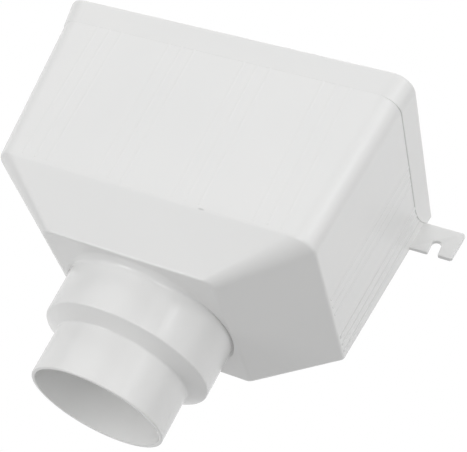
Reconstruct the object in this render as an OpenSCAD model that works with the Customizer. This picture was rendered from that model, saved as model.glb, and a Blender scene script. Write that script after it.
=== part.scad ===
// Rainwater funnel (hopper head) for a wall, moulded in one piece.
// An open-topped box with a raised rim runs down to three sloping faces, a flat
// bottom plate and a stepped round outlet. Two slotted ears stand out at the back.
// Millimetres, +Z up. The origin is on the outlet's axis, at the outlet's lower end.
// The back wall faces +Y and the patterned front faces -Y.

/* [Box] */
// Width across the raised rim, left to right
rim_w = 218.5; // [200:0.5:240]
// Depth from the back wall to the front of the raised rim
rim_d = 130.5; // [120:0.5:140]
// Height of the box, from the rim's top to the edge where the slopes start
box_h = 108; // [90:1:130]
// Width where the slopes start
mid_w = 195; // [180:1:198]
// Depth where the slopes start
mid_d = 123; // [112:1:124]
// Wall thickness of the box, the slopes and the bottom plate
wall = 2.6; // [2.2:0.1:3.2]
// Radius of the upright front corners
corner_r = 13; // [8:1:20]

/* [Rim] */
// Height of the raised rim band
band_h = 15; // [12:0.5:22]
// How far the band stands out from the walls at the rim
band_out = 1.2; // [0.8:0.1:1.8]
// How far the band stands out from the side walls at its lower edge
band_step = 0.5; // [0.4:0.1:0.8]
// How far it stands out from the front wall there
band_step_front = 0.1; // [0.1:0.1:0.4]
// Height of the band that is left at the back wall
band_end_h = 5; // [4:0.5:7]
// Length over which the band's lower edge curves up to the back wall
band_sweep = 28; // [20:1:40]
// Chamfer on the band's top edge
band_chamfer = 0.7; // [0.4:0.1:1]

/* [Slopes] */
// Height of the three sloping faces
slope_h = 32; // [26:0.5:40]
// Width of the flat bottom plate
plate_w = 105; // [104:1:120]
// Depth of the flat bottom plate
plate_d = 108.5; // [106:0.5:112]
// Radius of the bottom plate's front corners
plate_r = 9; // [4:1:12]

/* [Outlet] */
// Outside diameter of the lower spigot
spigot_d = 80; // [76:1:82]
// Length of the spigot below the cone
spigot_h = 28; // [22:0.5:40]
// Height of the cone between the spigot and the collar
step_h = 6; // [3:0.5:9]
// Outside diameter of the upper collar
collar_d = 100; // [98:1:102]
// Height of the collar between the cone and the bottom plate
collar_h = 29.5; // [22:0.5:36]
// Wall thickness of the spigot
spigot_wall = 2.2; // [1.8:0.1:2.8]
// Wall thickness of the collar and the cone
collar_wall = 2.5; // [2.2:0.1:3]
// Distance from the back wall's outer face to the outlet's axis
outlet_back = 50.5; // [50.5:0.5:53]
// Radius on the collar's lower edge
collar_round = 1; // [0.4:0.2:2]
// Radius on the spigot's lower edge
spigot_round = 0.6; // [0.3:0.1:0.8]

/* [Ears] */
// Width across the outer ends of the two ears
ears_w = 267; // [256:1:280]
// Thickness of each ear
ear_t = 3; // [2.4:0.2:4]
// Height of each ear
ear_h = 19.5; // [17:0.5:24]
// Distance from the rim's top down to each ear's top edge
ear_drop = 7; // [6:0.5:14]
// Width of the slot that hooks over a wall screw
slot_w = 6.4; // [5:0.2:7]
// Distance from an ear's outer end to its slot's centre line
slot_in = 13.7; // [12:0.1:15]
// Depth of the slot from the ear's lower edge to the crown
slot_h = 9.4; // [7:0.2:11]
// Corner radius of the ears
ear_r = 1.8; // [1:0.2:2.4]
// Slant of the ears' outer ends, top to bottom
ear_slant = 1.6; // [0:0.2:2.4]
// Radius on the lips of the slot
slot_lip = 1; // [0.4:0.2:1.4]

/* [Ribs] */
// Number of low ribs in one group
ribs = 3; // [2:1:4]
// Width of a rib
rib_w = 5; // [3:0.5:6]
// Height of a rib above the wall
rib_h = 0.25; // [0.15:0.05:0.45]
// Distance between neighbouring ribs in a group
rib_pitch = 8; // [6.5:0.5:9]
// Distance between neighbouring groups on the front
front_group_pitch = 47.5; // [40:0.5:48]
// Distance between the two groups on a side
side_group_pitch = 40.5; // [34:0.5:44]
// Distance from the back wall's outer face to a side's rear group
rib_back = 15; // [13:0.5:18]
// Plain strip below the ribs, above the slopes
rib_foot = 0.4; // [0:0.1:2]

/* [Hidden] */
$fn = 96;
eps = 0.05;                         // thickness of the slabs that span a hull
over = 5;                           // how far a cutting shape runs past what it cuts

z_plate = spigot_h + step_h + collar_h;     // underside of the bottom plate
z_mid = z_plate + slope_h;          // edge between the slopes and the box
z_top = z_mid + box_h;              // top of the rim
y_back = outlet_back;               // outer face of the back wall

wall_w = rim_w - 2 * band_out;      // width of the plain walls at the top
wall_d = rim_d - band_out;          // depth of the plain walls at the top
side_draft = (wall_w - mid_w) / 2 / box_h;
front_draft = (wall_d - mid_d) / box_h;

// Lean of the slopes, as sideways run for each millimetre of height
side_run = (mid_w - plate_w) / 2 / slope_h;
front_run = (mid_d - plate_d) / slope_h;
side_skin = wall * sqrt(1 + side_run * side_run);
front_skin = wall * sqrt(1 + front_run * front_run);

// Height, half width and depth of the hollow where its own slopes start
rise = (side_skin - wall) / (side_run - side_draft);
in_mid_x = mid_w / 2 + rise * side_draft - wall;
in_mid_d = mid_d + rise * front_draft - wall;
in_low_x = plate_w / 2 + wall * side_run - side_skin;
in_low_d = plate_d + wall * front_run - front_skin;

// Points of an arc about c from angle a to angle b
function arc(c, r, a, b, n = 8) =
    [for (i = [0 : n]) c + r * [cos(a + (b - a) * i / n), sin(a + (b - a) * i / n)]];

// A thin level slab with rounded front corners, its back edge at y
module slab(half_w, depth, r, z, y = y_back) {
    back = 1;
    for (s = [-1, 1]) {
        translate([s * (half_w - r), y - depth + r, z]) cylinder(r = r, h = eps, $fn = 48);
        translate([s * (half_w - back / 2) - back / 2, y - back, z]) cube([back, back, eps]);
    }
}

// Outside of the box, the slopes and the bottom plate
module outer_form() {
    hull() {
        slab(wall_w / 2, wall_d, corner_r, z_top - eps);
        slab(mid_w / 2, mid_d, corner_r, z_mid);
        slab(plate_w / 2, plate_d, plate_r, z_plate);
    }
}

// Inside of the box, open at the top
module hollow() {
    in_r = corner_r - wall;
    hull() {
        slab(wall_w / 2 + over * side_draft - wall, wall_d + over * front_draft - 2 * wall, in_r,
             z_top + over, y_back - wall);
        slab(in_mid_x, in_mid_d - wall, in_r, z_mid + rise, y_back - wall);
        slab(in_low_x, in_low_d - wall, plate_r - wall / 2, z_plate + wall, y_back - wall);
    }
}

// Band round the front and the sides that flares out to the rim, swept up at the back
module rim_band() {
    rise_back = band_h - band_end_h;
    sweep_r = (band_sweep * band_sweep + rise_back * rise_back) / (2 * rise_back);
    sweep_a = asin(band_sweep / sweep_r);
    low_w = wall_w / 2 - band_h * side_draft + band_step;
    low_d = wall_d - band_h * front_draft + band_step_front;
    intersection() {
        hull() {
            slab(rim_w / 2 - band_chamfer, rim_d - band_chamfer, corner_r - band_chamfer,
                 z_top - eps);
            slab(rim_w / 2, rim_d, corner_r, z_top - band_chamfer);
            slab(low_w, low_d, corner_r, z_top - band_h);
        }
        translate([-rim_w, 0, 0]) rotate([90, 0, 90]) linear_extrude(2 * rim_w)
            polygon(concat(
                [[y_back + over, z_top + over], [y_back - rim_d - over, z_top + over],
                 [y_back - rim_d - over, z_top - band_h]],
                arc([y_back - band_sweep, z_top - band_h + sweep_r], sweep_r, -90, -90 + sweep_a, 14),
                [[y_back + over, z_top - band_end_h]]));
    }
}

// Outline of a slot that is open downwards, its mouth at the origin
module slot() {
    half = slot_w / 2;
    polygon(concat(
        [[half + slot_lip, -over]],
        arc([half + slot_lip, slot_lip], slot_lip, -90, -180, 4),
        arc([0, slot_h - half], half, 0, 180, 16),
        arc([-half - slot_lip, slot_lip], slot_lip, 0, -90, 4),
        [[-half - slot_lip, -over]]));
}

// One ear with its slot, on the +X side
module ear() {
    x_in = mid_w / 2 + (box_h - ear_drop - ear_h) * side_draft - wall / 3;
    x_out = ears_w / 2;
    z_hi = z_top - ear_drop;
    z_lo = z_hi - ear_h;
    translate([0, y_back, 0]) rotate([90, 0, 0]) linear_extrude(ear_t) difference() {
        polygon(concat(
            [[x_in, z_hi]],
            arc([x_out - ear_r, z_hi - ear_r], ear_r, 90, 0),
            arc([x_out - ear_slant - ear_r, z_lo + ear_r], ear_r, 0, -90),
            [[x_in, z_lo]]));
        translate([x_out - slot_in, z_lo]) slot();
    }
}

// Solid body of revolution of the collar, the cone and the spigot
module outlet_form() {
    sr = spigot_d / 2;
    cr = collar_d / 2;
    lean = atan(step_h / (cr - sr));
    z_edge = spigot_h + step_h + collar_round * tan((90 - lean) / 2);
    rotate_extrude($fn = 128)
        polygon(concat(
            [[0, 0]],
            arc([sr - spigot_round, spigot_round], spigot_round, -90, 0, 4),
            [[sr, spigot_h]],
            arc([cr - collar_round, z_edge], collar_round, lean - 90, 0, 6),
            [[cr, z_plate + wall / 2], [0, z_plate + wall / 2]]));
}

// Bore of the spigot, the cone's inside and the wider bore of the collar
module outlet_bore() {
    sr = spigot_d / 2 - spigot_wall;
    cr = collar_d / 2 - collar_wall;
    slope = step_h / ((collar_d - spigot_d) / 2);
    z_low = spigot_h + collar_wall * sqrt(1 + slope * slope) - spigot_wall * slope;
    rotate_extrude($fn = 128)
        polygon([[0, -over], [sr, -over], [sr, z_low], [cr, z_low + (cr - sr) * slope],
                 [cr, z_plate + 2 * wall], [0, z_plate + 2 * wall]]);
}

// A low rounded rib along +Z that stands out to -Y from a wall through the origin
module rib(length) {
    r = (rib_w * rib_w / 4 + rib_h * rib_h) / (2 * rib_h);
    a = asin(rib_w / 2 / r);
    root = wall / 2;
    linear_extrude(length)
        polygon(concat(
            [[-rib_w / 2, root]],
            arc([0, r - rib_h], r, -90 - a, -90 + a, 6),
            [[rib_w / 2, root]]));
}

// Groups of ribs on the front and on both sides, from the slopes up into the band
module rib_groups() {
    z_foot = z_mid + rib_foot;
    length = box_h - rib_foot - band_end_h;
    half = (ribs - 1) / 2;
    for (g = [-1.5 : 1 : 1.5], i = [-half : half])
        translate([g * front_group_pitch + i * rib_pitch, y_back - mid_d - rib_foot * front_draft, z_foot])
            rotate([atan(front_draft), 0, 0]) rib(length);
    for (s = [-1, 1], g = [0 : 1], i = [-half : half])
        translate([s * (mid_w / 2 + rib_foot * side_draft),
                   y_back - rib_back - g * side_group_pitch - i * rib_pitch, z_foot])
            rotate([0, s * atan(side_draft), 0]) rotate([atan(front_draft), 0, 0])
                rotate([0, 0, s * 90]) rib(length);
}

module hopper() {
    color("WhiteSmoke") difference() {
        union() {
            outer_form();
            rim_band();
            outlet_form();
            ear();
            mirror([1, 0, 0]) ear();
            rib_groups();
        }
        hollow();
        outlet_bore();
    }
}

hopper();
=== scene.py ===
import math

import bmesh
import bpy
from mathutils import Matrix, Vector


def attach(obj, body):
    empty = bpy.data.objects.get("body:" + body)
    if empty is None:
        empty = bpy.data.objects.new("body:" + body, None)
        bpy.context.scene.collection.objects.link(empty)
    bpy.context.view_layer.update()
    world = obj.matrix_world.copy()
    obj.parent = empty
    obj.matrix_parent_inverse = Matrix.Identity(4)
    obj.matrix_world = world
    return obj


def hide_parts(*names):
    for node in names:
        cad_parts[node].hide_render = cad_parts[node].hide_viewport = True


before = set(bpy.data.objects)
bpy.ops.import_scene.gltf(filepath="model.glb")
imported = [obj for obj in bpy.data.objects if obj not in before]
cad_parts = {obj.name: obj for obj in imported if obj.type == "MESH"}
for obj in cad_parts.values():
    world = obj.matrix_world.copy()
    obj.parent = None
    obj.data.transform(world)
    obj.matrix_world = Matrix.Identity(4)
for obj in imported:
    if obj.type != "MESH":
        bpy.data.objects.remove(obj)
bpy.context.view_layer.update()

# Box, slopes and stepped outlet.
# The body of the funnel is one thin-walled injection moulding in rigid white plastic. Its walls
# widen a little towards the open top, and its edges are softly rounded so that the tool releases it.
MM = 0.001
Y_BACK = 50.5
Z_PLATE = 63.5
Z_EDGE = 95.5
Z_RIM = 203.5
WALL = 2.6
BOX_HALF_AT_RIM = 108.05
BOX_HALF_AT_EDGE = 97.5
BOX_DEPTH_AT_RIM = 129.3
BOX_DEPTH_AT_EDGE = 123.0
PLATE_HALF = 53.0
PLATE_DEPTH = 108.5
FRONT_CORNER = 13.0
PLATE_CORNER = 7.2
PLATE_REAR_CORNER = 3.0
REAR_CORNER = 0.8
SIDE_DRAFT = (BOX_HALF_AT_RIM - BOX_HALF_AT_EDGE) / (Z_RIM - Z_EDGE)
FRONT_DRAFT = (BOX_DEPTH_AT_RIM - BOX_DEPTH_AT_EDGE) / (Z_RIM - Z_EDGE)

# The band round the rim: its lower edge climbs in an arc near the back wall
BAND_HEIGHT = 15.0
BAND_END_HEIGHT = 5.0
BAND_SWEEP = 28.0
BAND_OUT_AT_RIM = 1.2
BAND_OUT_AT_SIDE_FOOT = 0.5
BAND_OUT_AT_FRONT_FOOT = 0.06
BAND_FOOT_DROP = 0.12

# The outlet, with the draft of its walls: collar, sloping step and spigot, then the bores inside
COLLAR_TOP_RADIUS = 50.3
COLLAR_LOW_RADIUS = 49.7
STEP_TOP_Z = 34.4
STEP_FOOT_Z = 28.9
SPIGOT_TOP_RADIUS = 40
SPIGOT_LIP_RADIUS = 39.7
BORE_LIP_RADIUS = 37.6
SPIGOT_BORE_RADIUS = 37.8
SPIGOT_BORE_TOP_Z = 30.4
COLLAR_BORE_RADIUS = 47.5
COLLAR_BORE_LOW_Z = 35.8

# The edge between the slopes and the plate is rounded, and more widely at the sides
PLATE_ROUND = 0.9
PLATE_ROUND_EXTRA = 1.5

# The collar meets the plate in a soft fillet in front and in a narrow crevice at the sides
JOINT_LEAST = 0.02
JOINT_CLEARANCE = 0.15
FILLET_OUT = 3.4
FILLET_DOWN = 2.6
FILLET_ROUND = 1.8
CREVICE_OUT = 1.5
CREVICE_UP = 1.2
CREVICE_ROUND = 0.2
CREVICE_START = 0.45
CREVICE_SPAN = 0.5

# Two roundings next to each other take at most this share of the straight run between them
ROUNDING_ROOM = 0.95

# Shares of each run of a level outline at which its points lie
SIDE_STEPS = [0, 0.02] + [0.02 + 0.96 * i / 28 for i in range(1, 28)] + [0.98]
FRONT_STEPS = [0, 0.012] + [0.012 + 0.976 * i / 46 for i in range(1, 46)] + [0.988]
CORNER_STEPS = [i / 14 for i in range(14)]
REAR_STEPS = [i / 4 for i in range(4)]


def wall_outline(half, depth, corner, y_rear=Y_BACK, rear_corner=REAR_CORNER):
    """Level outline of the box in order: right side, front, left side, back."""
    y_front = y_rear - depth
    runs = []

    def straight(start, end, steps):
        for t in steps:
            runs.append((start[0] + (end[0] - start[0]) * t, start[1] + (end[1] - start[1]) * t))

    def turn(centre, radius, start, end, steps):
        for t in steps:
            angle = math.radians(start + (end - start) * t)
            runs.append((centre[0] + radius * math.cos(angle), centre[1] + radius * math.sin(angle)))

    straight((half, y_rear - rear_corner), (half, y_front + corner), SIDE_STEPS)
    turn((half - corner, y_front + corner), corner, 0, -90, CORNER_STEPS)
    straight((half - corner, y_front), (corner - half, y_front), FRONT_STEPS)
    turn((corner - half, y_front + corner), corner, -90, -180, CORNER_STEPS)
    straight((-half, y_front + corner), (-half, y_rear - rear_corner), SIDE_STEPS)
    turn((rear_corner - half, y_rear - rear_corner), rear_corner, 180, 90, REAR_STEPS)
    straight((rear_corner - half, y_rear), (half - rear_corner, y_rear), FRONT_STEPS)
    turn((half - rear_corner, y_rear - rear_corner), rear_corner, 90, 0, REAR_STEPS)
    return runs


def rounded_path(profile, steps=5):
    """Closed path through the profile's corners.

    Each row of the profile holds a corner, the size of its rounding, and the shares of the straight
    run after it at which more points lie.
    """
    corners, sizes, spans = zip(*profile)
    count = len(corners)
    shares = [1.0] * count
    for k in range(count):
        n = (k + 1) % count
        room = ROUNDING_ROOM * (corners[n] - corners[k]).length / (sizes[k] + sizes[n])
        shares[k] = min(shares[k], room)
        shares[n] = min(shares[n], room)
    ends = []
    for k in range(count):
        here = corners[k]
        before = corners[k - 1] - here
        after = corners[(k + 1) % count] - here
        size = sizes[k] * shares[k]
        start = here + before.normalized() * size
        end = here + after.normalized() * size
        weight = math.cos(before.angle(-after) / 2)
        arc = []
        for i in range(steps + 1):
            t = i / steps
            a, b, c = (1 - t) ** 2, 2 * t * (1 - t) * weight, t ** 2
            arc.append((start * a + here * b + end * c) / (a + b + c))
        ends.append(arc)
    path = []
    for k in range(count):
        path += ends[k]
        start = ends[k][-1]
        end = ends[(k + 1) % count][0]
        for share in spans[k]:
            path.append(start.lerp(end, share))
    return path


def close_grid(columns, name):
    """Mesh of closed columns that stand side by side in a closed ring."""
    mesh = bpy.data.meshes.new(name)
    tall = len(columns[0])
    wide = len(columns)
    points = [Vector(p) * MM for column in columns for p in column]
    faces = []
    for i in range(wide):
        for j in range(tall):
            a = i * tall + j
            b = i * tall + (j + 1) % tall
            c = (i + 1) % wide * tall + (j + 1) % tall
            d = (i + 1) % wide * tall + j
            faces.append((a, b, c, d))
    mesh.from_pydata(points, [], faces)
    return mesh


sweep_rise = BAND_HEIGHT - BAND_END_HEIGHT
sweep_radius = (BAND_SWEEP ** 2 + sweep_rise ** 2) / (2 * sweep_rise)
side_run = (BOX_HALF_AT_EDGE - PLATE_HALF) / (Z_EDGE - Z_PLATE)
front_run = (BOX_DEPTH_AT_EDGE - PLATE_DEPTH) / (Z_EDGE - Z_PLATE)
side_skin = WALL * math.hypot(1, side_run)
front_skin = WALL * math.hypot(1, front_run)
inner_rise = (side_skin - WALL) / (side_run - SIDE_DRAFT)
rim_line = wall_outline(BOX_HALF_AT_RIM, BOX_DEPTH_AT_RIM, FRONT_CORNER)
plate_line = wall_outline(PLATE_HALF, PLATE_DEPTH, PLATE_CORNER)


def wall_point(i, half, depth, corner, z, y_rear=Y_BACK, rear=REAR_CORNER):
    """Point i of a level outline at height z."""
    x, y = wall_outline(half, depth, corner, y_rear, rear)[i]
    return Vector((x, y, z))


def box_point(i, z, out):
    """Point i of the drafted outer wall at height z, moved outwards."""
    down = Z_RIM - z
    return wall_point(i, BOX_HALF_AT_RIM - down * SIDE_DRAFT + out,
                      BOX_DEPTH_AT_RIM - down * FRONT_DRAFT + out, FRONT_CORNER, z)


def round_point(angle, radius, z):
    """Point of the outlet at an angle about its axis."""
    return Vector((radius * math.cos(angle), radius * math.sin(angle), z))


def box_normal(i):
    """Level outward direction of the box's outline at one of its points."""
    before = Vector(rim_line[i - 1])
    after = Vector(rim_line[(i + 1) % len(rim_line)])
    run = (after - before).normalized()
    return Vector((-run.y, run.x))


def body_column(i):
    """Closed path down the outside and up the inside of the wall, at point i of the outline."""
    along = max(0.0, box_point(i, Z_RIM - BAND_HEIGHT, 0).y - (Y_BACK - BAND_SWEEP))
    climb = sweep_radius - math.sqrt(sweep_radius ** 2 - along ** 2)
    band_foot = Z_RIM - BAND_HEIGHT + climb
    flare = (Z_RIM - band_foot) / BAND_HEIGHT
    frontward = max(0.0, -box_normal(i).y)
    step = BAND_OUT_AT_SIDE_FOOT + (BAND_OUT_AT_FRONT_FOOT - BAND_OUT_AT_SIDE_FOOT) * frontward ** 2
    out_at_foot = BAND_OUT_AT_RIM - (BAND_OUT_AT_RIM - step) * flare

    angle = math.atan2(plate_line[i][1], plate_line[i][0])
    sideways = abs(math.cos(angle))
    plate_round = PLATE_ROUND + PLATE_ROUND_EXTRA * sideways ** 2
    plate_point = wall_point(i, PLATE_HALF, PLATE_DEPTH, PLATE_CORNER, Z_PLATE,
                             rear=PLATE_REAR_CORNER)
    crevice = min(1.0, max(0.0, (sideways - CREVICE_START) / CREVICE_SPAN))
    room = math.hypot(plate_point.x, plate_point.y) - COLLAR_TOP_RADIUS - JOINT_CLEARANCE
    joint_out = min(FILLET_OUT + (CREVICE_OUT - FILLET_OUT) * crevice, max(JOINT_LEAST, room))
    joint_up = -FILLET_DOWN + (CREVICE_UP + FILLET_DOWN) * crevice
    joint_round = FILLET_ROUND + (CREVICE_ROUND - FILLET_ROUND) * crevice

    inner_plate = wall_point(i, PLATE_HALF + WALL * side_run - side_skin,
                             PLATE_DEPTH + WALL * front_run - front_skin - WALL,
                             PLATE_CORNER - WALL / 2, Z_PLATE + WALL, Y_BACK - WALL)
    inner_edge = wall_point(i, BOX_HALF_AT_EDGE + inner_rise * SIDE_DRAFT - WALL,
                            BOX_DEPTH_AT_EDGE + inner_rise * FRONT_DRAFT - 2 * WALL,
                            FRONT_CORNER - WALL, Z_EDGE + inner_rise, Y_BACK - WALL)
    inner_rim = wall_point(i, BOX_HALF_AT_RIM - WALL, BOX_DEPTH_AT_RIM - 2 * WALL,
                           FRONT_CORNER - WALL, Z_RIM, Y_BACK - WALL)
    outer_edge = wall_point(i, BOX_HALF_AT_EDGE, BOX_DEPTH_AT_EDGE, FRONT_CORNER, Z_EDGE)
    return rounded_path([
        (box_point(i, Z_RIM, BAND_OUT_AT_RIM), 0.8, (0.1, 0.5, 0.92)),
        (box_point(i, band_foot, out_at_foot), 0.18, ()),
        (box_point(i, band_foot - BAND_FOOT_DROP, 0), 0.3, (0.015, 0.1, 0.3, 0.5, 0.7, 0.9, 0.985)),
        (outer_edge, 1.3, (0.03, 0.3, 0.6, 0.97)),
        (plate_point, plate_round, (0.15, 0.85)),
        (round_point(angle, COLLAR_TOP_RADIUS + joint_out, Z_PLATE), joint_round, (0.5,)),
        (round_point(angle, COLLAR_TOP_RADIUS, Z_PLATE + joint_up), joint_round, (0.05, 0.5, 0.95)),
        (round_point(angle, COLLAR_LOW_RADIUS, STEP_TOP_Z), 0.6, (0.08, 0.92)),
        (round_point(angle, SPIGOT_TOP_RADIUS, STEP_FOOT_Z), 0.8, (0.03, 0.5, 0.97)),
        (round_point(angle, SPIGOT_LIP_RADIUS, 0), 0.6, ()),
        (round_point(angle, BORE_LIP_RADIUS, 0), 0.4, (0.02, 0.5, 0.98)),
        (round_point(angle, SPIGOT_BORE_RADIUS, SPIGOT_BORE_TOP_Z), 0.6, (0.08, 0.92)),
        (round_point(angle, COLLAR_BORE_RADIUS, COLLAR_BORE_LOW_Z), 0.6, (0.04, 0.5, 0.96)),
        (round_point(angle, COLLAR_BORE_RADIUS, Z_PLATE + WALL), 0.4, (0.15, 0.85)),
        (inner_plate, 1.2, (0.05, 0.5, 0.95)),
        (inner_edge, 2.0, (0.02, 0.3, 0.6, 0.98)),
        (inner_rim, 0.5, (0.3, 0.7)),
    ])


body_mesh = close_grid([body_column(i) for i in range(len(plate_line))], "body")

# Ears.
# Two flat tabs, moulded with the back wall, hook the funnel over screws in the house wall. Each has
# a slot that is open downwards, with rounded lips, and edges broken for the tool.
EAR_TOP = Z_RIM - 7.0
EAR_HEIGHT = 19.5
EAR_THICK = 3.0
EAR_END = 133.5
EAR_SLANT = 1.6
EAR_CORNER = 1.8
EAR_CORNER_STEPS = 8
EAR_ROOT_INSIDE = 1.2
EAR_EDGE = 0.45
EAR_EDGE_STEPS = 4
MITRE_LIMIT = 0.4
SLOT_FROM_END = 13.7
SLOT_HALF = 3.2
SLOT_DEPTH = 9.4
SLOT_STEPS = 18
SLOT_LIP = 1.0
SLOT_LIP_STEPS = 6
SHARP_FROM = math.radians(50)


def arc_points(centre, radius, start, end, steps):
    """Points of an arc in the ear's own plane."""
    found = []
    for k in range(steps + 1):
        turned = math.radians(start + (end - start) * k / steps)
        found.append((centre[0] + radius * math.cos(turned), centre[1] + radius * math.sin(turned)))
    return found


def ear_outline():
    """Outline of the right ear, clockwise from its upper inner corner."""
    low = EAR_TOP - EAR_HEIGHT
    end_low = EAR_END - EAR_SLANT
    slot_x = EAR_END - SLOT_FROM_END
    lip_x = SLOT_HALF + SLOT_LIP
    root_top = BOX_HALF_AT_RIM - (Z_RIM - EAR_TOP) * SIDE_DRAFT - EAR_ROOT_INSIDE
    root_low = BOX_HALF_AT_RIM - (Z_RIM - low) * SIDE_DRAFT - EAR_ROOT_INSIDE
    line = [(root_top, EAR_TOP)]
    line += arc_points((EAR_END - EAR_CORNER, EAR_TOP - EAR_CORNER), EAR_CORNER, 90, 0,
                       EAR_CORNER_STEPS)
    line += arc_points((end_low - EAR_CORNER, low + EAR_CORNER), EAR_CORNER, 0, -90,
                       EAR_CORNER_STEPS)
    line += arc_points((slot_x + lip_x, low + SLOT_LIP), SLOT_LIP, -90, -180, SLOT_LIP_STEPS)
    line += arc_points((slot_x, low + SLOT_DEPTH - SLOT_HALF), SLOT_HALF, 0, 180, SLOT_STEPS)
    line += arc_points((slot_x - lip_x, low + SLOT_LIP), SLOT_LIP, 0, -90, SLOT_LIP_STEPS)
    line += [(root_low, low)]
    return line


def drawn_in(line, inset):
    """The closed outline moved inwards by a small distance."""
    moved = []
    for k, (x, z) in enumerate(line):
        before = Vector(line[k - 1]) - Vector((x, z))
        after = Vector(line[(k + 1) % len(line)]) - Vector((x, z))
        first = Vector((-before.y, before.x)).normalized()
        second = Vector((after.y, -after.x)).normalized()
        middle = (first + second).normalized()
        reach = inset / max(MITRE_LIMIT, middle.dot(first))
        moved.append((x + middle.x * reach, z + middle.y * reach))
    return moved


def ear_mesh(side):
    """Closed mesh of one ear, 1 for the right and -1 for the left."""
    line = ear_outline()
    layers = []
    for k in range(EAR_EDGE_STEPS + 1):
        turned = math.radians(90 * k / EAR_EDGE_STEPS)
        layers.append((EAR_EDGE * (1 - math.sin(turned)), EAR_EDGE * (1 - math.cos(turned))))
    rings = [(inset, Y_BACK - EAR_THICK + depth) for inset, depth in layers]
    rings += [(inset, Y_BACK - depth) for inset, depth in reversed(layers)]
    built = bmesh.new()
    loops = []
    for inset, y in rings:
        loops.append([built.verts.new(Vector((side * x, y, z)) * MM) for x, z in drawn_in(line, inset)])
    for first, second in zip(loops, loops[1:]):
        for k in range(len(first)):
            n = (k + 1) % len(first)
            built.faces.new((first[k], first[n], second[n], second[k]))
    built.faces.new(loops[0])
    built.faces.new(loops[-1])
    bmesh.ops.recalc_face_normals(built, faces=built.faces)
    mesh = bpy.data.meshes.new("ear")
    built.to_mesh(mesh)
    built.free()
    return mesh


moulding = bmesh.new()
moulding.from_mesh(body_mesh)
bmesh.ops.recalc_face_normals(moulding, faces=moulding.faces)
for side in (1, -1):
    moulding.from_mesh(ear_mesh(side))
moulding_mesh = bpy.data.meshes.new("moulding")
moulding.to_mesh(moulding_mesh)
moulding.free()
moulding_mesh.shade_smooth()
moulding_mesh.set_sharp_from_angle(angle=SHARP_FROM)

# Low ribs and the plastic.
# Groups of three low ribs run down the front and the sides. They are part of the same moulding, cut
# as shallow channels in the tool. The plastic is white all through, with a soft sheen.
REAR_GROUP_FROM_BACK = 15.0
RIB_INPUTS = {
    "Rib Width": 5.0 * MM,
    "Rib Height": 0.09 * MM,
    "Rear Rib Extra": 0.3 * MM,
    "Rib Depth": 1.2 * MM,
    "Rib Length": 101.2 * MM,
    "Rib Foot": 1.8 * MM,
    "Rib Pitch": 8.0 * MM,
    "Front Group Pitch": 47.5 * MM,
    "Side Group Pitch": 40.5 * MM,
    "Front Lean": math.atan(FRONT_DRAFT),
    "Side Lean": math.atan(SIDE_DRAFT),
}
RIB_PLACES = {
    "Front Foot": Vector((0, Y_BACK - BOX_DEPTH_AT_EDGE, Z_EDGE)) * MM,
    "Side Foot": Vector((BOX_HALF_AT_EDGE, Y_BACK - REAR_GROUP_FROM_BACK, Z_EDGE)) * MM,
}
RIB_COUNTS = {"Ribs in a Group": 3, "Front Groups": 4, "Side Groups": 2}
RIB_BASE = 2.2 * MM
RIB_FACETS = 40
RIB_FOOT_TOP = 0.998
RIB_FOOT_SHARE = 0.5
RIB_FOOT_LAP = 0.1 * MM
NEXT_GROUP_DROP = 0.6
PLAIN_WHITE = (0.83, 0.83, 0.825, 1)
PLAIN_ROUGHNESS = 0.32
CLOUD_LOW = (0.815, 0.817, 0.812, 1)
CLOUD_HIGH = (0.84, 0.839, 0.832, 1)
CLOUD_SCALE = 9
SHEEN_LOW = 0.2
SHEEN_HIGH = 0.255
SHEEN_SCALE = 35
GRAIN_SCALE = 900
GRAIN_STRENGTH = 0.25
GRAIN_HEIGHT = 0.04 * MM
NOISE_LOW = 0.3
NOISE_HIGH = 0.7
# Painted shadow: a small dark patch at the lower end of the outer rib of a front group
PAINTED_SHADOW_PLACE = (0.0339, -0.0725, 0.0955)
PAINTED_SHADOW_SIZE = (0.0024, 0.0009, 0.0007)
PAINTED_SHADOW_STRENGTH = 0.28
PAINTED_SHADOW_COLOUR = (0.2, 0.2, 0.195, 1)


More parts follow.
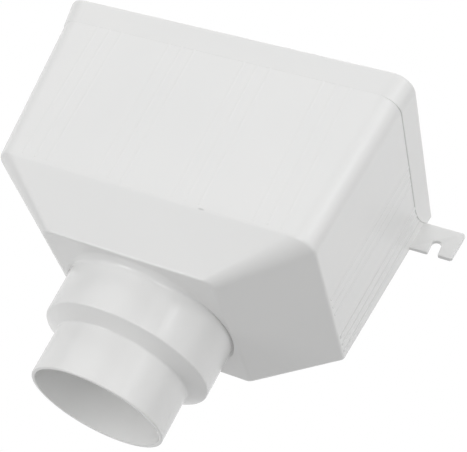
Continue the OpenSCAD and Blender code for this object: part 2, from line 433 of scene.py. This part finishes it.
def white_plastic():
    """Rigid white plastic as it leaves the tool."""
    material = bpy.data.materials.new("white_plastic")
    material.use_nodes = True
    nodes = material.node_tree.nodes
    links = material.node_tree.links
    surface = nodes["Principled BSDF"]
    surface.inputs["IOR"].default_value = 1.5
    # Plain values for a program that doesn't follow the nodes
    surface.inputs["Base Color"].default_value = PLAIN_WHITE
    surface.inputs["Roughness"].default_value = PLAIN_ROUGHNESS
    place = nodes.new("ShaderNodeTexCoord")

    def noise(scale, detail):
        node = nodes.new("ShaderNodeTexNoise")
        node.inputs["Scale"].default_value = scale
        node.inputs["Detail"].default_value = detail
        links.new(place.outputs["Object"], node.inputs["Vector"])
        return node.outputs["Fac"]

    def ranged(value, start, end, low=0.0, high=1.0):
        node = nodes.new("ShaderNodeMapRange")
        for name, number in zip(("From Min", "From Max", "To Min", "To Max"), (start, end, low, high)):
            node.inputs[name].default_value = number
        links.new(value, node.inputs["Value"])
        return node.outputs["Result"]

    # A faint cloudy change of tone
    shade = nodes.new("ShaderNodeMix")
    shade.data_type = "RGBA"
    shade.inputs["A"].default_value = CLOUD_LOW
    shade.inputs["B"].default_value = CLOUD_HIGH
    links.new(ranged(noise(CLOUD_SCALE, 3), NOISE_LOW, NOISE_HIGH), shade.inputs["Factor"])

    # A small painted shadow on the edge below the front wall, at the lower end of the outer rib of a
    # front group
    spot = nodes.new("ShaderNodeMapping")
    spot.vector_type = "TEXTURE"
    spot.inputs["Location"].default_value = PAINTED_SHADOW_PLACE
    spot.inputs["Scale"].default_value = PAINTED_SHADOW_SIZE
    links.new(place.outputs["Object"], spot.inputs["Vector"])
    reach = nodes.new("ShaderNodeVectorMath")
    reach.operation = "LENGTH"
    links.new(spot.outputs["Vector"], reach.inputs[0])
    marked = nodes.new("ShaderNodeMix")
    marked.data_type = "RGBA"
    marked.inputs["B"].default_value = PAINTED_SHADOW_COLOUR
    links.new(ranged(reach.outputs["Value"], 1.0, 0.4, 0.0, PAINTED_SHADOW_STRENGTH), marked.inputs["Factor"])
    links.new(shade.outputs["Result"], marked.inputs["A"])
    links.new(marked.outputs["Result"], surface.inputs["Base Color"])

    # The sheen varies a little, and a fine grain breaks up the reflections
    sheen = ranged(noise(SHEEN_SCALE, 5), NOISE_LOW, NOISE_HIGH, SHEEN_LOW, SHEEN_HIGH)
    links.new(sheen, surface.inputs["Roughness"])
    bump = nodes.new("ShaderNodeBump")
    bump.inputs["Strength"].default_value = GRAIN_STRENGTH
    bump.inputs["Distance"].default_value = GRAIN_HEIGHT
    links.new(noise(GRAIN_SCALE, 2), bump.inputs["Height"])
    links.new(bump.outputs["Normal"], surface.inputs["Normal"])
    return material


def rib_tree():
    """Geometry Nodes tree that adds the groups of low ribs to the moulding."""
    tree = bpy.data.node_groups.new("Low Ribs", "GeometryNodeTree")
    nodes = tree.nodes
    links = tree.links

    def socket(name, kind, value=None):
        made = tree.interface.new_socket(name=name, in_out="INPUT", socket_type=kind)
        if value is not None:
            made.default_value = value

    def fill(node, values):
        for k, value in enumerate(values):
            if isinstance(value, (int, float)):
                node.inputs[k].default_value = value
            else:
                links.new(value, node.inputs[k])
        return node.outputs[0]

    def maths(operation, first, second):
        node = nodes.new("ShaderNodeMath")
        node.operation = operation
        return fill(node, (first, second))

    def vector(x=0.0, y=0.0, z=0.0):
        return fill(nodes.new("ShaderNodeCombineXYZ"), (x, y, z))

    def shaded(geometry, selection, smooth):
        node = nodes.new("GeometryNodeSetShadeSmooth")
        links.new(geometry, node.inputs["Geometry"])
        links.new(selection, node.inputs["Selection"])
        node.inputs["Shade Smooth"].default_value = smooth
        return node.outputs[0]

    def round_side(node):
        """Smooth round the side and flat at both ends."""
        geometry = shaded(node.outputs["Mesh"], node.outputs["Side"], True)
        geometry = shaded(geometry, node.outputs["Top"], False)
        return shaded(geometry, node.outputs["Bottom"], False)

    def moved(geometry, place=None, turn=None, size=None):
        node = nodes.new("GeometryNodeTransform")
        links.new(geometry, node.inputs["Geometry"])
        for name, value in (("Translation", place), ("Rotation", turn), ("Scale", size)):
            if value is not None:
                links.new(value, node.inputs[name])
        return node.outputs[0]

    def joined(*pieces):
        node = nodes.new("GeometryNodeJoinGeometry")
        for piece in pieces:
            links.new(piece, node.inputs[0])
        return node.outputs[0]

    def repeated(geometry, count, start, step):
        line = nodes.new("GeometryNodeMeshLine")
        line.mode = "OFFSET"
        line.count_mode = "TOTAL"
        links.new(count, line.inputs["Count"])
        links.new(start, line.inputs["Start Location"])
        links.new(step, line.inputs["Offset"])
        put = nodes.new("GeometryNodeInstanceOnPoints")
        links.new(line.outputs["Mesh"], put.inputs["Points"])
        links.new(geometry, put.inputs["Instance"])
        return put.outputs["Instances"]

    def half_span(count, pitch):
        return maths("MULTIPLY", maths("MULTIPLY", maths("SUBTRACT", count, 1), pitch), -0.5)

    tree.interface.new_socket(name="Moulding", in_out="OUTPUT", socket_type="NodeSocketGeometry")
    socket("Moulding", "NodeSocketGeometry")
    for name, value in RIB_INPUTS.items():
        socket(name, "NodeSocketFloat", value)
    for name, value in RIB_PLACES.items():
        socket(name, "NodeSocketVector", value)
    for name, value in RIB_COUNTS.items():
        socket(name, "NodeSocketInt", value)
    socket("Plastic", "NodeSocketMaterial")
    given = nodes.new("NodeGroupInput").outputs
    result = nodes.new("NodeGroupOutput")

    # One rib: a flat oval column that stands out of the wall by the rib's height
    column = nodes.new("GeometryNodeMeshCylinder")
    column.inputs["Vertices"].default_value = RIB_FACETS
    column.inputs["Radius"].default_value = 1
    column.inputs["Depth"].default_value = 1
    half_width = maths("MULTIPLY", given["Rib Width"], 0.5)
    sunk = maths("SUBTRACT", given["Rib Depth"], given["Rib Height"])
    lift = maths("ADD", maths("MULTIPLY", given["Rib Length"], 0.5), RIB_BASE)
    oval = vector(half_width, given["Rib Depth"], given["Rib Length"])
    shaft = moved(round_side(column), vector(0.0, sunk, lift), None, oval)

    # The rib's foot narrows and sinks into the wall
    cone = nodes.new("GeometryNodeMeshCone")
    cone.inputs["Vertices"].default_value = RIB_FACETS
    cone.inputs["Radius Top"].default_value = RIB_FOOT_TOP
    cone.inputs["Radius Bottom"].default_value = RIB_FOOT_SHARE
    cone.inputs["Depth"].default_value = 1
    foot_rise = maths("SUBTRACT", RIB_BASE + RIB_FOOT_LAP, given["Rib Foot"])
    foot_size = vector(half_width, given["Rib Depth"], given["Rib Foot"])
    foot = moved(round_side(cone), vector(0.0, sunk, foot_rise), None, foot_size)
    rib = joined(shaft, foot)

    # A group of ribs, then the groups of the front wall
    start = vector(half_span(given["Ribs in a Group"], given["Rib Pitch"]))
    group = repeated(rib, given["Ribs in a Group"], start, vector(given["Rib Pitch"]))
    start = vector(half_span(given["Front Groups"], given["Front Group Pitch"]))
    front = repeated(group, given["Front Groups"], start, vector(given["Front Group Pitch"]))
    walls = [moved(front, given["Front Foot"], vector(given["Front Lean"]))]

    # A rib on a side wall stands out to that side and leans with the wall and with the front edge.
    # The rear group is the highest, and the next one towards the front stands out less.
    split = nodes.new("ShaderNodeSeparateXYZ")
    links.new(given["Side Foot"], split.inputs[0])
    for sign in (1, -1):
        turned = moved(rib, None, vector(0.0, 0.0, sign * math.pi / 2))
        leaned = moved(turned, None, vector(given["Front Lean"]))
        tipped = moved(leaned, None, vector(0.0, maths("MULTIPLY", given["Side Lean"], sign), 0.0))
        start = vector(0.0, half_span(given["Ribs in a Group"], given["Rib Pitch"]))
        row = repeated(tipped, given["Ribs in a Group"], start, vector(0.0, given["Rib Pitch"]))
        inwards = maths("MULTIPLY", given["Rear Rib Extra"], -NEXT_GROUP_DROP * sign)
        step = vector(inwards, maths("MULTIPLY", given["Side Group Pitch"], -1.0))
        rows = repeated(row, given["Side Groups"], vector(0.0), step)
        outwards = maths("ADD", split.outputs[0], given["Rear Rib Extra"])
        spot = vector(maths("MULTIPLY", outwards, sign), split.outputs[1], split.outputs[2])
        walls.append(moved(rows, spot))

    real = nodes.new("GeometryNodeRealizeInstances")
    links.new(joined(*walls), real.inputs["Geometry"])
    dressed = nodes.new("GeometryNodeSetMaterial")
    links.new(joined(real.outputs[0], given["Moulding"]), dressed.inputs["Geometry"])
    links.new(given["Plastic"], dressed.inputs["Material"])
    links.new(dressed.outputs[0], result.inputs[0])
    return tree


plastic = white_plastic()
blank = bpy.data.objects.new("moulding_blank", moulding_mesh)
bpy.context.scene.collection.objects.link(blank)
ribs = blank.modifiers.new("Low Ribs", "NODES")
ribs.node_group = rib_tree()
for item in ribs.node_group.interface.items_tree:
    if item.in_out == "INPUT" and item.name == "Plastic":
        ribs[item.identifier] = plastic
depsgraph = bpy.context.evaluated_depsgraph_get()
hopper_mesh = bpy.data.meshes.new_from_object(blank.evaluated_get(depsgraph))
bpy.data.objects.remove(blank)

hopper = bpy.data.objects.new("rainwater_funnel", hopper_mesh)
bpy.context.scene.collection.objects.link(hopper)
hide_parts("hopper")
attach(hopper, "root")

# Light and camera.
# The funnel is shown before plain white, lit by soft lamps from the left, the front, the right and
# above. The camera looks up at the front right corner and is rolled as the picture is.
PLAIN_LIGHT = 0.38
PICTURE_WIDTH = 467
FOCAL_LENGTH_IN_PIXELS = 1316.318
SENSOR_WIDTH = 36


def soft_lamp(name, place, aim, size, power):
    """A square lamp at place that faces aim."""
    light = bpy.data.lights.new(name, "AREA")
    light.size = size
    light.energy = power
    lamp = bpy.data.objects.new(name, light)
    lamp.location = place
    lamp.rotation_euler = (Vector(aim) - Vector(place)).to_track_quat("-Z", "Y").to_euler()
    bpy.context.scene.collection.objects.link(lamp)


soft_lamp("left_front_lamp", (-0.9, -1.5, 0.5), (0, 0, 0.05), 1.8, 5.5)
soft_lamp("left_low_lamp", (-1.0, -1.1, -0.35), (0, 0, 0.05), 1.3, 4.7)
soft_lamp("lowest_lamp", (-0.65, -1.1, -0.9), (0, 0, 0.05), 0.35, 3.2)
soft_lamp("near_camera_lamp", (0.8, -1.5, -0.3), (0, 0, 0.1), 0.8, 6.2)
soft_lamp("right_front_lamp", (1.2, -1.2, 0.6), (0, 0, 0.12), 1.3, 5.6)
soft_lamp("small_right_lamp", (1.27, -0.96, 0.62), (0, 0, 0.05), 0.25, 0.75)
soft_lamp("right_lamp", (1.6, -0.3, 0.3), (0, 0, 0.1), 1.0, 3.0)
soft_lamp("top_lamp", (-0.3, -0.6, 1.6), (0, 0, 0.05), 1.0, 10.7)
soft_lamp("top_right_lamp", (1.1, -0.3, 1.2), (0, 0, 0.05), 0.8, 5.6)

world = bpy.data.worlds.new("studio")
bpy.context.scene.world = world
world.use_nodes = True
nodes = world.node_tree.nodes
links = world.node_tree.links
backdrop = nodes["Background"]
backdrop.inputs["Color"].default_value = (1, 1, 1, 1)
direction = nodes.new("ShaderNodeTexCoord")


def world_share(axis, start, end, top):
    """Rises from 0 to top as the direction turns towards the axis."""
    along = nodes.new("ShaderNodeVectorMath")
    along.operation = "DOT_PRODUCT"
    along.inputs[1].default_value = axis
    links.new(direction.outputs["Generated"], along.inputs[0])
    share = nodes.new("ShaderNodeMapRange")
    share.interpolation_type = "SMOOTHSTEP"
    share.inputs["From Min"].default_value = start
    share.inputs["From Max"].default_value = end
    share.inputs["To Max"].default_value = top
    links.new(along.outputs["Value"], share.inputs["Value"])
    return share.outputs["Result"]


# The plain light comes from below and from behind, reflections show white behind, and the camera
# sees white all round
from_below = world_share((0, 0, -1), -0.3, 0.3, PLAIN_LIGHT)
from_behind = world_share((-0.39, 0.81, 0.44), 0.0, 0.6, 1.0)
plain = nodes.new("ShaderNodeMath")
plain.operation = "MULTIPLY_ADD"
plain.inputs[1].default_value = PLAIN_LIGHT
links.new(from_behind, plain.inputs[0])
links.new(from_below, plain.inputs[2])
ray = nodes.new("ShaderNodeLightPath")
mirrored = nodes.new("ShaderNodeMix")
links.new(ray.outputs["Is Glossy Ray"], mirrored.inputs["Factor"])
links.new(plain.outputs[0], mirrored.inputs["A"])
links.new(from_behind, mirrored.inputs["B"])
strength = nodes.new("ShaderNodeMath")
strength.operation = "MAXIMUM"
links.new(mirrored.outputs["Result"], strength.inputs[0])
links.new(ray.outputs["Is Camera Ray"], strength.inputs[1])
links.new(strength.outputs[0], backdrop.inputs["Strength"])

bpy.context.scene.view_settings.view_transform = "Standard"

picture_right = Vector((0.882445, 0.192267, 0.429331))
picture_down = Vector((0.262055, 0.557015, -0.788074))
look = Vector((-0.390664, 0.80794, 0.441151))
eye = Vector((0.315558, -0.611644, -0.20296))
lens = bpy.data.cameras.new("camera")
lens.sensor_fit = "HORIZONTAL"
lens.sensor_width = SENSOR_WIDTH
lens.lens = FOCAL_LENGTH_IN_PIXELS / PICTURE_WIDTH * SENSOR_WIDTH
lens.clip_start = 0.05
camera = bpy.data.objects.new("camera", lens)
turned = Matrix((picture_right, -picture_down, -look)).transposed().to_4x4()
camera.matrix_world = Matrix.Translation(eye) @ turned
bpy.context.scene.collection.objects.link(camera)
bpy.context.scene.camera = camera
